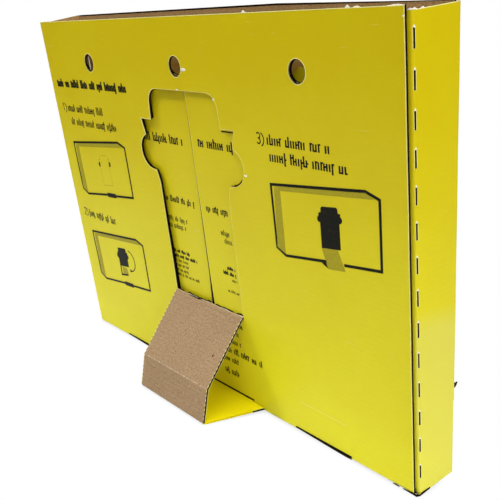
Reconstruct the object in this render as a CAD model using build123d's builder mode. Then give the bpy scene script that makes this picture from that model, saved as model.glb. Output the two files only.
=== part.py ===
from build123d import *
from math import atan2, cos, degrees, hypot, radians, sin, sqrt
import os

# Shallow open-topped display tray, folded from one printed sheet of thin fluted board.
# Everything is in millimetres. The tray is drawn upright and then laid back by lean_angle:
# X runs along the width, the back panel's outer face is the plane y = 0, the front faces -Y.

# Board and box
board = 1.6
box_width = 378.0
box_height = 265.0
box_depth = 34.0
box_depth_top = 37.5
fold_radius = 1.5
inner_fold_radius = 0.3
lean_angle = 7.5

# Outer back panel, a little narrower and taller than the box behind it
panel_inset = 3.0
panel_rise = 2.2

# Two half-width flaps behind it, folded in from the sides; +X lies deeper than -X
near_flap_gap = 0.3
far_flap_gap = 2.0
seam_x = -7.5
seam_gap_top = 1.8
seam_gap_bottom = 4.0
flap_lift = 2.0
flap_foot_clearance = 0.3

# Open front: the front wall ends this far above the bottom
dispense_height = 50.0
front_rise = 1.0

# Glued flaps folded in from the sides onto the bottom panel
dust_flap_length = 46.0
dust_flap_taper = 4.0
dust_flap_side_gap = 1.0

# Hang holes through the back panel and the flaps behind it
hole_radius = 6.35
hole_pitch = 114.5
hole_shift = 1.0
hole_drop = 28.0

# Easel tab, cut out of the back panel and folded down in three sections
tab_width = 80.6
tab_section_2 = 26.3
knee_slack = 1.81
foot_reach = 46.0
ear_width = 106.0
tip_width = 80.0
tip_end_width = 77.0
tip_length = 21.4
tip_corner_radius = 10.0
tip_gap = 8.7
thumb_radius = 12.4
thumb_reach = 59.0
thumb_drop = 23.4

# Slots along the back-bottom fold
slit_clearance = 0.3
slit_side_clearance = 1.0
slit_ease = 0.5
lock_slot_width = 50.0
lock_slot_x = 110.5
lock_slot_depth = 2.0
lock_tab_clearance = 1.5
lock_slot_lift = 1.0
lock_tab_lift = 0.2

# Cut-and-crease line along each back fold
crease_cut_pitch = 18.2
crease_cut_length = 9.1
crease_cut_width = 0.9
crease_cut_depth = 0.9
crease_cut_setback = 0.5
first_cut_drop = 11.9

# Worked out from the sizes above
half_width = box_width / 2
panel_half = half_width - panel_inset
panel_height = box_height + panel_rise
near_flap_y = -(board + near_flap_gap)
far_flap_y = -(board + far_flap_gap)
front_inner_y = -(box_depth - board)
side_inner_x = half_width - board
hole_height = box_height - hole_drop
crease_cut_count = int((box_height - first_cut_drop) / crease_cut_pitch) + 1

# Foot and creases of the easel tab in the upright frame, as (y, z) on its outer face
foot_y = foot_reach * cos(radians(lean_angle))
foot_z = foot_reach * sin(radians(lean_angle))
tip_y = slit_clearance
tip_z = board + slit_clearance
tab_section_3 = hypot(foot_y - tip_y, foot_z - tip_z)

# Heights of its creases while the tab was still in the panel, down from the hang holes
tip_top = hole_height - hole_radius - tip_gap
ear_height = tip_top - tip_length
thumb_height = ear_height - thumb_drop
thumb_x = thumb_reach - thumb_radius
flare_height = ear_height - tab_section_3

# The first two sections are cut from what is left between the fold and the flare, so the fold
# lies where they reach the foot with a little slack, which bends them out at the knee
upper_length = flare_height - knee_slack - foot_z
fold_above_foot = (upper_length**2 - foot_y**2) / (2 * upper_length)
tab_fold_height = foot_z + fold_above_foot
fold_to_foot = hypot(foot_y, fold_above_foot)
tab_section_1 = fold_to_foot + knee_slack - tab_section_2

# The knee, where sections of those lengths meet
along = (tab_section_1**2 - tab_section_2**2 + fold_to_foot**2) / (2 * fold_to_foot)
out = sqrt(tab_section_1**2 - along**2)
run_y = foot_y / fold_to_foot
run_z = (foot_z - tab_fold_height) / fold_to_foot
knee_y = along * run_y - out * run_z
knee_z = tab_fold_height + along * run_z + out * run_y
section_3_slope = degrees(atan2(foot_z - tip_z, foot_y - tip_y))

# Front wall, both sides and both inner flaps: one strip bent round the tray. The front wall
# splays, so the strip's section is a little deeper at the top
with BuildPart() as wrap:
    for height, depth in ((0, box_depth), (box_height, box_depth_top)):
        with BuildSketch(Plane.XY.offset(height)) as section:
            with BuildLine():
                Polyline(
                    (seam_x - seam_gap_top, near_flap_y),
                    (-half_width, near_flap_y),
                    (-half_width, -depth),
                    (half_width, -depth),
                    (half_width, far_flap_y),
                    (seam_x, far_flap_y),
                    (seam_x, far_flap_y - board),
                    (side_inner_x, far_flap_y - board),
                    (side_inner_x, board - depth),
                    (-side_inner_x, board - depth),
                    (-side_inner_x, near_flap_y - board),
                    (seam_x - seam_gap_top, near_flap_y - board),
                    close=True,
                )
            make_face()
            corners = section.vertices()
            fillet([v for v in corners if abs(abs(v.X) - side_inner_x) < board / 2], inner_fold_radius)
            corners = section.vertices()
            fillet([v for v in corners if abs(v.X) > half_width - board / 2], fold_radius)
    loft(ruled=True)
    # the front wall stands a little taller than the sides
    with BuildSketch(Plane.XY.offset(box_height)):
        with Locations((0, board / 2 - box_depth_top)):
            Rectangle(box_width - 2 * fold_radius, board)
    extrude(amount=front_rise)
    # the front wall stops above the bottom, and the sides' cut edges stand open there
    with BuildSketch(Plane.XY):
        with Locations((0, -box_depth)):
            Rectangle(box_width + 2 * board, 2 * board)
    extrude(amount=dispense_height, mode=Mode.SUBTRACT)
    # the flaps stop above the bottom panel, and only their strip beside it reaches the floor
    with BuildSketch(Plane.XY):
        with Locations((0, (near_flap_y + far_flap_y - board) / 2)):
            Rectangle(2 * (panel_half + flap_foot_clearance), far_flap_gap - near_flap_gap + board)
    extrude(amount=board + flap_lift, mode=Mode.SUBTRACT)
    # the slanting seam between the two flaps
    with BuildSketch(Plane.XZ.offset(-near_flap_y)):
        with BuildLine():
            Polyline(
                (seam_x - seam_gap_top, 0),
                (seam_x - seam_gap_bottom, 0),
                (seam_x - seam_gap_top, box_height),
                close=True,
            )
        make_face()
    extrude(amount=board, mode=Mode.SUBTRACT)
    # lock tabs at the foot of each flap, one to each slot
    for side, flap_y in ((-1, near_flap_y), (1, far_flap_y)):
        with BuildSketch(Plane.XY.offset(lock_tab_lift)):
            with Locations((side * lock_slot_x, flap_y - board / 2)):
                Rectangle(lock_slot_width - 2 * lock_tab_clearance, board)
        extrude(amount=board + flap_lift)
    # room for the easel's tip to slide in under the flaps
    with BuildSketch(Plane.XY):
        with Locations((0, (near_flap_y + far_flap_y - board) / 2)):
            Rectangle(tip_width + 4 * slit_side_clearance, far_flap_gap - near_flap_gap + board)
    extrude(amount=2 * board + 4 * slit_clearance + slit_ease, mode=Mode.SUBTRACT)

# Cuts of the cut-and-crease line, in each side just in front of its back fold
with BuildPart() as crease_cuts:
    for side, flap_y in ((-1, near_flap_y), (1, far_flap_y)):
        cut_y = flap_y - crease_cut_setback - crease_cut_width / 2
        for row in range(crease_cut_count):
            cut_z = box_height - first_cut_drop - row * crease_cut_pitch
            with Locations((side * half_width, cut_y, cut_z)):
                Box(2 * crease_cut_depth, crease_cut_width, crease_cut_length)

# Outer back panel and bottom panel: one strip bent at the back-bottom fold
with BuildPart() as strap:
    with BuildSketch(Plane.YZ):
        with BuildLine():
            Polyline(
                (0, 0),
                (0, panel_height),
                (-board, panel_height),
                (-board, board),
                (-box_depth, board),
                (-box_depth, 0),
                close=True,
            )
        make_face()
    extrude(amount=panel_half, both=True)
    fillet(strap.edges().filter_by(Axis.X).sort_by(SortBy.DISTANCE)[0:1], board / 2)
    # the opening that the easel tab leaves, with its two thumb holes
    with BuildSketch(Plane.XZ):
        with BuildLine():
            Polyline(
                (-tab_width / 2, tab_fold_height),
                (-tab_width / 2, flare_height),
                (-ear_width / 2, ear_height),
                (-tip_width / 2, ear_height),
                (-tip_end_width / 2, tip_top),
                (tip_end_width / 2, tip_top),
                (tip_width / 2, ear_height),
                (ear_width / 2, ear_height),
                (tab_width / 2, flare_height),
                (tab_width / 2, tab_fold_height),
                close=True,
            )
        opening = make_face()
        fillet(opening.vertices().group_by(Axis.Y)[-1], tip_corner_radius)
        with Locations((-thumb_x, thumb_height), (thumb_x, thumb_height)):
            Circle(thumb_radius)
    extrude(amount=board, mode=Mode.SUBTRACT)
    # slit for the easel's tip, and one slot for each lock tab
    slit_top = 2 * board + 2 * slit_clearance + slit_ease
    with BuildSketch(Plane.XY.offset(board)):
        Rectangle(tip_width + 2 * slit_side_clearance, 2 * board)
    extrude(amount=slit_top - board, mode=Mode.SUBTRACT)
    for side, flap_y in ((-1, near_flap_y), (1, far_flap_y)):
        slot_back = flap_y - board - lock_slot_depth
        with BuildSketch(Plane.XY):
            with Locations((side * lock_slot_x, slot_back / 2)):
                Rectangle(lock_slot_width, -slot_back)
        extrude(amount=board + lock_slot_lift, mode=Mode.SUBTRACT)

# Easel tab: two sections out to the foot, a third one back to the slit, and its tip
with BuildPart() as easel:
    with BuildSketch(Plane.YZ):
        with BuildLine():
            Polyline(
                (0, tab_fold_height),
                (knee_y, knee_z),
                (foot_y, foot_z),
                (tip_y, tip_z),
            )
            offset(amount=board, side=Side.RIGHT)
        make_face()
    extrude(amount=tab_width / 2, both=True)
    # the third section flares out to the two ears that stop at the slit
    foot_plane = Plane(
        origin=(0, foot_y, foot_z),
        x_dir=(1, 0, 0),
        z_dir=(0, -sin(radians(section_3_slope)), cos(radians(section_3_slope))),
    )
    with BuildSketch(foot_plane):
        with BuildLine():
            Polyline(
                (-tab_width / 2, 0),
                (tab_width / 2, 0),
                (ear_width / 2, -tab_section_3),
                (-ear_width / 2, -tab_section_3),
                close=True,
            )
        make_face()
    extrude(amount=board)
    with BuildSketch(Plane.XY.offset(tip_z)):
        with BuildLine():
            Polyline(
                (-tip_width / 2, tip_y + board),
                (tip_width / 2, tip_y + board),
                (tip_width / 2, tip_y),
                (tip_end_width / 2, tip_y - tip_length),
                (-tip_end_width / 2, tip_y - tip_length),
                (-tip_width / 2, tip_y),
                close=True,
            )
        tip = make_face()
        fillet(tip.vertices().group_by(Axis.Y)[0], tip_corner_radius)
    extrude(amount=board)

# Dust flaps, folded in from the foot of each side and glued down
with BuildPart() as dust_flaps:
    flap_front = front_inner_y + dust_flap_side_gap
    flap_back = far_flap_y - board - dust_flap_side_gap
    with BuildSketch(Plane.XY.offset(board)):
        for side in (-1, 1):
            with BuildLine():
                Polyline(
                    (side * side_inner_x, flap_front),
                    (side * (side_inner_x - dust_flap_length), flap_front + dust_flap_taper),
                    (side * (side_inner_x - dust_flap_length), flap_back - dust_flap_taper),
                    (side * side_inner_x, flap_back),
                    close=True,
                )
            make_face()
    extrude(amount=board)

# The whole folded sheet, still upright
with BuildPart() as upright_tray:
    add(wrap.part)
    add(crease_cuts.part, mode=Mode.SUBTRACT)
    add(strap.part)
    add(easel.part)
    add(dust_flaps.part)
    with Locations([(hole_shift + step * hole_pitch, 0, hole_height) for step in (-1, 0, 1)]):
        Cylinder(hole_radius, 4 * board + 2 * far_flap_gap, rotation=(90, 0, 0), mode=Mode.SUBTRACT)

# Laid back on its easel, and moved so that its box stands centred on the origin
with BuildPart() as leaning_tray:
    add(upright_tray.part, rotation=(-lean_angle, 0, 0))

bounds = leaning_tray.part.bounding_box()
with BuildPart() as display_tray:
    with Locations((0, -bounds.center().Y, -bounds.min.Z)):
        add(leaning_tray.part)

display_tray.part.label = "display_tray"

os.makedirs("parts", exist_ok=True)
export_step(display_tray.part, "parts/display_tray.step")

print("knee", round(knee_y, 2), round(knee_z, 2), "foot", round(foot_y, 2), round(foot_z, 2))
print("third section", round(tab_section_3, 2), "ears at", round(ear_height, 2), "top", round(tip_top, 2))
print("moved by", round(-bounds.center().Y, 3), round(-bounds.min.Z, 3))
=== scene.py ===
import bpy
import numpy as np
from math import cos, pi, radians, sin
from mathutils import Matrix, Vector


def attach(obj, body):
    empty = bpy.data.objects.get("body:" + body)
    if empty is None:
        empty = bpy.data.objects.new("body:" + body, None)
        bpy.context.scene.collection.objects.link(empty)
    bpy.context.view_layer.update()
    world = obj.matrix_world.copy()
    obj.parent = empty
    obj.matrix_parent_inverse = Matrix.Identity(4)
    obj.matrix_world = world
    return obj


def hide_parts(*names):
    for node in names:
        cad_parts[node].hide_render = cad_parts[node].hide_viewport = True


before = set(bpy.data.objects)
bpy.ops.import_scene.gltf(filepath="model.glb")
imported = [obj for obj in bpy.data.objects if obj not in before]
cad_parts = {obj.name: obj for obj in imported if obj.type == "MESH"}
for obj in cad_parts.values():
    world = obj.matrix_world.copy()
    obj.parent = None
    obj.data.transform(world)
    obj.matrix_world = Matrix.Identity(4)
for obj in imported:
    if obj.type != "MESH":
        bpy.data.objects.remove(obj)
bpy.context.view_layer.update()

from types import SimpleNamespace

# Millimetres in the upright tray's frame: x along the width, y = 0 on the back panel's outer face, z up.
tray = dict(
    lean=7.5, shiftY=-6.178,  # degrees that it is laid back, and how far it is then moved over the origin
    board=1.6, liner=0.3, medium=0.18, flute=3.4,  # thin fluted board: two liners and a wave between them
    halfWidth=189.0, height=265.0, frontTop=266.0, depth=34.0, splay=3.5, foldRadius=1.75,
    panelHalf=186.0, panelTop=267.2, bottomRadius=1.75,
    nearFlap=-1.9, farFlap=-3.6, flapFoot=3.6, footGap=0.3,  # outer faces of the two flaps, and their foot
    tipRoomHalf=42.0, tipRoomTop=4.9, dispenseTop=50.0,  # room for the tip, gap under the front
    # where the flaps meet, and how far the near and the far one stop short of it at four heights
    seamX=-1.0, seamGapZ=(0, 68, 92, 265), seamGap=(4.0, 3.8, 3.4, 1.8), farGap=(-2.4, -2.0, -0.6, 0),
    holeRadius=6.35, holeZ=237.0, nearHoles=(-113.5,), farHoles=(1.0, 115.5),
    # half widths of the flaps' holes over the radius, towards the middle and away from it
    nearSlack=((1.2, 1.0),), farSlack=((1.0, 2.0), (1.0, 2.2)),
)
allHoles = tray["nearHoles"] + tray["farHoles"]
holeLow, holeHigh = tray["holeZ"] - tray["holeRadius"], tray["holeZ"] + tray["holeRadius"]
leanCos, leanSin = cos(radians(tray["lean"])), sin(radians(tray["lean"]))


def place(x, y, z):
    # upright millimetres to the row frame: turned about x by the lean, moved over the origin, in metres
    x, y, z = np.broadcast_arrays(x, y, z)
    return np.stack((x, y * leanCos + z * leanSin + tray["shiftY"], z * leanCos - y * leanSin), -1) / 1000


def foldPath(corners, radii, side, steps=9):
    # straight runs joined by arcs: each arc turns from one run's direction to the next at its corner's radius
    corners = np.array(corners, float)
    ways = np.diff(corners, axis=0)
    ways /= np.linalg.norm(ways, axis=1)[:, None]
    points, normals = [corners[:1]], [side * np.array([[ways[0][1], -ways[0][0]]])]
    runs, at, length = [], corners[0], 0.0
    for k, way in enumerate(ways):
        runs.append((length, at, way))
        if k == len(ways) - 1:
            end, turned = corners[-1], None
        else:
            turn = np.arccos(np.clip(way @ ways[k + 1], -1, 1))
            end = corners[k + 1] - way * radii[k] * np.tan(turn / 2)
            inward = (ways[k + 1] - cos(turn) * way) / sin(turn)
            angle = np.linspace(0, turn, steps)[:, None]
            turned = end + radii[k] * (np.sin(angle) * way + (1 - np.cos(angle)) * inward)
            tangent = np.cos(angle) * way + np.sin(angle) * inward
        length += np.linalg.norm(end - at)
        if turned is None:
            points.append(end[None])
            normals.append(side * np.array([[way[1], -way[0]]]))
        else:
            points.append(turned)
            normals.append(side * np.stack((tangent[:, 1], -tangent[:, 0]), -1))
            length += np.linalg.norm(np.diff(turned, axis=0), axis=1).sum()
            at = turned[-1]
    points, normals = np.concatenate(points), np.concatenate(normals)
    distance = np.concatenate(([0], np.linalg.norm(np.diff(points, axis=0), axis=1).cumsum()))
    return dict(distance=distance, points=points, normals=normals, runs=runs, length=distance[-1])


def onPath(path, s, t):
    # point at distance s along the path, moved t outward
    step = [np.interp(s, path["distance"], path[key][:, k]) for key in ("points", "normals") for k in (0, 1)]
    return step[0] + t * step[2], step[1] + t * step[3]


def runAt(path, run, point):
    # distance along the path of a point on one of its straight runs
    start, corner, way = path["runs"][run]
    return start + (np.array(point) - corner) @ way


def grown(at, start, length):
    # nothing up to the start, all from a length farther on, and in proportion between them
    return np.clip((at - start) / length, 0, 1)


warp = dict(length=60, longer=47, turn=2.1, wrap=0.14, strap=0.16)  # the sheet's slow waves, in millimetres


def waviness(u, v, size, seed):
    # three sines of different directions and lengths, added
    total = 0
    for k in range(3):
        turn, length = seed + warp["turn"] * k, warp["length"] + warp["longer"] * k
        total = total + np.sin((u * cos(turn) + v * sin(turn)) / length * 2 * pi + 3 * turn)
    return total * size / 3


# The three strips that the sheet forms, each as a map from (across, along, outward) to a place.
wrapPath = foldPath(
    [(tray["seamX"], tray["nearFlap"]), (-tray["halfWidth"], tray["nearFlap"]),
     (-tray["halfWidth"], -tray["depth"]), (tray["halfWidth"], -tray["depth"]),
     (tray["halfWidth"], tray["farFlap"]), (tray["seamX"], tray["farFlap"])],
    [tray["foldRadius"]] * 4, 1)
strapPath = foldPath([(-tray["depth"], 0), (0, 0), (0, tray["panelTop"])], [tray["bottomRadius"]], 1)
easel = dict(
    # side view: height of the fold, then knee, foot crease and tip crease as (y, z), and their radii;
    # the path starts startRun below the fold and the board start below it
    fold=72.56, knee=(38.05, 31.19), foot=(45.61, 6.0), tip=(0.3, 1.9), tipLength=21.4,
    foldRadius=1.9, kneeRadius=2.2, footRadius=1.7, tipRadius=6.0, foldOut=1.7, startRun=8.0, start=3.2,
    # outline: half widths of the stem, the ears and the tip, and the thumb holes, by height in the panel
    half=40.3, earHalf=53.0, tipHalf=40.0, tipEndHalf=38.5, tipCorner=10.0,
    flareZ=155.06, earZ=200.55, thumbZ=177.15, thumbX=46.6, thumbRadius=12.4,
    darkEar=9.0, clear=4.0, ripple=0.5,  # ears' dark edge, painted shade under them; opening below the fold; crest's ripple
)
openingTop = easel["earZ"] + easel["tipLength"]
easelPath = foldPath(
    [(-tray["board"], easel["fold"] - easel["startRun"]), (-tray["board"], easel["fold"] + easel["foldOut"]),
     easel["knee"], easel["foot"], easel["tip"], (easel["tip"][0] - easel["tipLength"], easel["tip"][1])],
    [easel["foldRadius"], easel["kneeRadius"], easel["footRadius"], easel["tipRadius"]], -1)


def wrapAt(u, v, t):
    # u runs round the tray from the near flap's seam, v is the height; the waves grow over 20 mm from 4 mm
    # up, and the front leans out by the splay at the top, in full within 4 mm of its own plane and not at all
    # within 8 mm of the back panel's
    t = t + waviness(u, v, warp["wrap"], 1.3) * grown(v, 4, 20)
    x, y = onPath(wrapPath, u, t)
    forward = grown(-y, 8, tray["depth"] - 12)
    return place(x, y - tray["splay"] * forward * v / tray["height"], v)


def strapAt(u, v, t):
    # u is x, v runs from the bottom panel's front edge round the fold and up the back panel; the waves grow
    # over 40 mm from 60 mm on
    t = t + waviness(u, v, warp["strap"], 4.4) * grown(v, 60, 40)
    y, z = onPath(strapPath, v, t)
    return place(u, y, z)


def crestRipple(x):
    # height of the fold's crest over its even line: three sines of the place across, added
    waves = np.sin(x * 0.31 + 1) + 0.7 * np.sin(x * 0.73 + 2) + 0.4 * np.sin(x * 1.31)
    return easel["ripple"] * waves / 1.5


def easelAt(u, v, t):
    # u is x, v runs over the fold and down the easel; the ripple of the crest dies out on both sides of it
    y, z = onPath(easelPath, v, t)
    return place(u, y, z + np.exp(-(((v - easelFold) / 5) ** 2)) * crestRipple(u))


def panelV(z):
    # distance along the strap of a height on the back panel
    return strapPath["length"] - tray["panelTop"] + z


def nearU(x):
    # distance along the wrap of a place on the near flap
    return tray["seamX"] - x


def farU(x):
    # distance along the wrap of a place on the far flap, which is its other end
    return wrapPath["length"] - (x - tray["seamX"])


def creaseAt(path, k, steps=9):
    # distance along the path of the middle of one crease's arc
    return (path["distance"][1 + k * steps] + path["distance"][(k + 1) * steps]) / 2


easelFold, easelFoot = creaseAt(easelPath, 0), creaseAt(easelPath, 2)
easelKnee = runAt(easelPath, 2, easelPath["runs"][2][1]) - 0.5
easelEar = runAt(easelPath, 3, easel["tip"]) - 0.2
easelEnd = easelPath["length"]


def shell(top, bottom):
    # closed skin between two grids of points: both faces and the rims between them
    n, m = top.shape[:2]
    index = np.arange(n * m).reshape(n, m)
    upper = np.stack((index[:-1, :-1], index[1:, :-1], index[1:, 1:], index[:-1, 1:]), -1).reshape(-1, 4)
    ring = np.concatenate((index[0, :], index[1:, -1], index[-1, -2::-1], index[-2:0:-1, 0]))
    after = np.roll(ring, -1)
    rim = np.stack((ring, after, after + n * m, ring + n * m), -1)
    quads = np.concatenate((upper, upper[:, ::-1] + n * m, rim))
    kinds = np.repeat((0, 1, 2), (len(upper), len(upper), len(ring)))
    points = np.concatenate((top.reshape(-1, 3), bottom.reshape(-1, 3)))
    a, b, c, d = (points[quads[:, k]] for k in range(4))
    volume = (np.cross(b - a, c - a) * a).sum() + (np.cross(c - a, d - a) * a).sum()
    if volume < 0:
        quads = quads[:, ::-1]
    return points, quads, kinds


def sheetShell(at, u, v, top, bottom, slots):
    # one ply of a strip between the offsets top and bottom; its place on the sheet is kept for the materials
    points, quads, kinds = shell(at(u, v, top), at(u, v, bottom))
    flat = np.stack(np.broadcast_arrays(u, v, top), -1).reshape(-1, 3)
    under = np.stack(np.broadcast_arrays(u, v, bottom), -1).reshape(-1, 3)
    return points, quads, np.array(slots)[kinds], np.concatenate((flat, under))


def makePiece(name, shells, materials, body="root", smooth=35):
    # one mesh from several closed skins
    counts = np.cumsum([0] + [len(s[0]) for s in shells[:-1]])
    points = np.concatenate([s[0] for s in shells])
    quads = np.concatenate([s[1] + c for s, c in zip(shells, counts)])
    mesh = bpy.data.meshes.new(name)
    mesh.vertices.add(len(points))
    mesh.vertices.foreach_set("co", points.astype(np.float32).ravel())
    mesh.loops.add(quads.size)
    mesh.loops.foreach_set("vertex_index", quads.astype(np.int32).ravel())
    mesh.polygons.add(len(quads))
    mesh.polygons.foreach_set("loop_start", np.arange(0, quads.size, 4, dtype=np.int32))
    mesh.update(calc_edges=True)
    mesh.polygons.foreach_set("material_index", np.concatenate([s[2] for s in shells]).astype(np.int32))
    mesh.polygons.foreach_set("use_smooth", np.ones(len(quads), bool))
    sheet = mesh.attributes.new("sheet", "FLOAT_VECTOR", "POINT")
    sheet.data.foreach_set("vector", np.concatenate([s[3] for s in shells]).astype(np.float32).ravel())
    mesh.validate()
    mesh.set_sharp_from_angle(angle=radians(smooth))
    piece = bpy.data.objects.new(name, mesh)
    bpy.context.scene.collection.objects.link(piece)
    for material in materials:
        mesh.materials.append(material)
    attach(piece, body)
    return piece


def rowsOf(low, high, breaks, step):
    # values from low to high at an even step, with the given breaks kept
    count = max(int(round((high - low) / step)), 1)
    inside = [b for b in breaks if low + 0.02 < b < high - 0.02]
    return np.unique(np.round(np.concatenate((np.linspace(low, high, count + 1), inside)), 3))


def band(low, high, left, right, columns=None, rim=None):
    # part of a strip between two heights; left and right are numbers, or arrays of (height, across)
    return dict(low=low, high=high, left=left, right=right, columns=columns, rim=rim)


def bandGrid(one, uBreaks, vBreaks, stepU, stepV):
    # across and along values of a band's grid; a band with straight sides keeps the path's own breaks
    ends = [one["left"], one["right"]]
    own = [h for e in ends if not np.isscalar(e) for h in e[0]]
    v = rowsOf(one["low"], one["high"], list(vBreaks) + own, stepV)
    if np.isscalar(ends[0]) and np.isscalar(ends[1]):
        u = rowsOf(ends[0], ends[1], uBreaks, stepU)
        return np.broadcast_to(u, (len(v), len(u))), np.broadcast_to(v[:, None], (len(v), len(u)))
    a, b = (np.full(len(v), e) if np.isscalar(e) else np.interp(v, e[0], e[1]) for e in ends)
    w = np.linspace(0, 1, one["columns"] or 6)
    return a[:, None] + (b - a)[:, None] * w, np.broadcast_to(v[:, None], (len(v), len(w)))


# steps of the grids: the liners' both ways, the wave's across, its columns on shaped bands and rows per flute
net = dict(across=14, along=7, waveAcross=60, waveColumns=3, waveRows=8)


def boardShells(at, bands, uBreaks, vBreaks, outer, inner):
    # the board's plies over every band: a liner on each side, and between them a sine of the distance along
    # slots: 0 print, 1 kraft, 2 printed liner's cut edge, 3 brown cut edge darkened as painted shade;
    # a band's rim is one slot for all
    board, liner = tray["board"], tray["liner"]
    swing = (board - 2 * liner - tray["medium"]) / 2
    shells = []
    for one in bands:
        u, v = bandGrid(one, uBreaks, vBreaks, net["across"], net["along"])
        edges = {0: 2, 1: 3} if one["rim"] is None else {0: one["rim"], 1: one["rim"]}
        core = 3 if one["rim"] is None else one["rim"]
        shells.append(sheetShell(at, u, v, 0.0, -liner, (outer, core, edges[outer])))
        shells.append(sheetShell(at, u, v, liner - board, -board, (core, inner, edges[inner])))
        coarse, rows = dict(one, columns=net["waveColumns"]), tray["flute"] / net["waveRows"]
        u, v = bandGrid(coarse, uBreaks, vBreaks, net["waveAcross"], rows)
        wave = -board / 2 + swing * np.sin(2 * pi * v / tray["flute"])
        shells.append(sheetShell(at, u, v, wave + tray["medium"] / 2, wave - tray["medium"] / 2, (core,) * 3))
    return shells


def arcSide(radius, steps=15):
    # heights and half widths of a circle, from its foot to its top
    angle = np.linspace(-pi / 2, pi / 2, steps)
    return np.sin(angle) * radius, np.cos(angle) * radius


print("maps done")


# materials
def newMaterial(name, roughness, specular):
    # a new material with its shader, and short helpers to add, set and join nodes
    material = bpy.data.materials.new(name)
    material.use_nodes = True
    nodes, links = material.node_tree.nodes, material.node_tree.links
    shader = nodes["Principled BSDF"]
    shader.inputs["Roughness"].default_value = roughness
    shader.inputs["Specular IOR Level"].default_value = specular

    def put(socket, value):
        # joins an output, or sets a plain value
        if isinstance(value, bpy.types.NodeSocket):
            links.new(value, socket)
        else:
            socket.default_value = value

    def add(kind, inputs=(), **settings):
        # a new node with its inputs and settings
        node = nodes.new(kind)
        for key, value in settings.items():
            setattr(node, key, value)
        for key, value in dict(inputs).items():
            put(node.inputs[key], value)
        return node

    def math(operation, a, b=0.0, clamp=False):
        # one sum on one or two values
        return add("ShaderNodeMath", {0: a, 1: b}, operation=operation, use_clamp=clamp).outputs[0]

    def times(a, b):
        # the product of two values
        return math("MULTIPLY", a, b)

    def noise(vector, scale, detail=3.0, rough=0.5, distortion=0.0):
        # soft noise between 0 and 1 at a place
        node = add("ShaderNodeTexNoise", {"Vector": vector, "Scale": scale, "Detail": detail,
                                          "Roughness": rough, "Distortion": distortion})
        return node.outputs["Fac"]

    def ramp(value, low, high, start=0.0, end=1.0):
        # from start to end while the value goes from low to high
        node = add("ShaderNodeMapRange", {"Value": value, "From Min": low, "From Max": high,
                                          "To Min": start, "To Max": end})
        return node.outputs["Result"]

    def part(vector, k):
        # one coordinate of a vector
        return add("ShaderNodeSeparateXYZ", {0: vector}).outputs[k]

    def mix(factor, a, b):
        # from colour a to colour b by the factor
        node = add("ShaderNodeMix", data_type="RGBA")
        put(node.inputs[0], factor)
        put(node.inputs[6], a)
        put(node.inputs[7], b)
        return node.outputs[2]

    def stretch(vector, scale):
        # a vector scaled by a number for each of its coordinates
        return add("ShaderNodeVectorMath", {0: vector, 1: scale}, operation="MULTIPLY").outputs[0]

    def bump(height, strength, distance, below=None):
        # a normal tilted by a height, over another one if given
        inputs = {"Height": height, "Strength": strength, "Distance": distance}
        if below is not None:
            inputs["Normal"] = below
        return add("ShaderNodeBump", inputs).outputs["Normal"]

    def shade(name, value):
        # gives the shader one of its values
        put(shader.inputs[name], value)

    return material, shader, SimpleNamespace(
        put=put, add=add, math=math, times=times, noise=noise, ramp=ramp, part=part, mix=mix,
        stretch=stretch, bump=bump, shade=shade, object=add("ShaderNodeTexCoord").outputs["Object"],
        sheet=add("ShaderNodeAttribute", attribute_name="sheet").outputs["Vector"])


def washboard(kit):
    # faint ridges where the flutes show through the liner: a sine of the distance along the sheet
    return kit.math("SINE", kit.times(kit.part(kit.sheet, 1), 2 * pi / tray["flute"]))


inkYellow = dict(
    pale=(0.78, 0.735, 0.018, 1), full=(0.632, 0.494, 0.0006, 1), shade=(0.58, 0.47, 0.0, 1),
    # on the next line: the second yellow is painted light for the easel's shaded print, the last a painted
    # sheen
    scuff=(0.88, 0.84, 0.34, 1), litYellow=(0.90, 0.78, 0.004, 1), sheenTone=(0.69, 0.65, 0.11, 1),
    paleZ=0.02, fullZ=0.235, cloud=0.12,  # metres: paler towards the foot, painted light and sheen, in soft clouds
    cloudScale=14, grainScale=900, grain=0.14, ridge=0.05, scratchScale=(60, 60, 900), scratch=0.25,
    sheenX=(-0.187, -0.1875), sheenZ=(0.116, 0.104), sheenShare=0.55,  # painted sheen: near side paler at its foot
    roughness=0.42, smooth=0.36, rough=0.5, specular=0.14,
)


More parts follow.
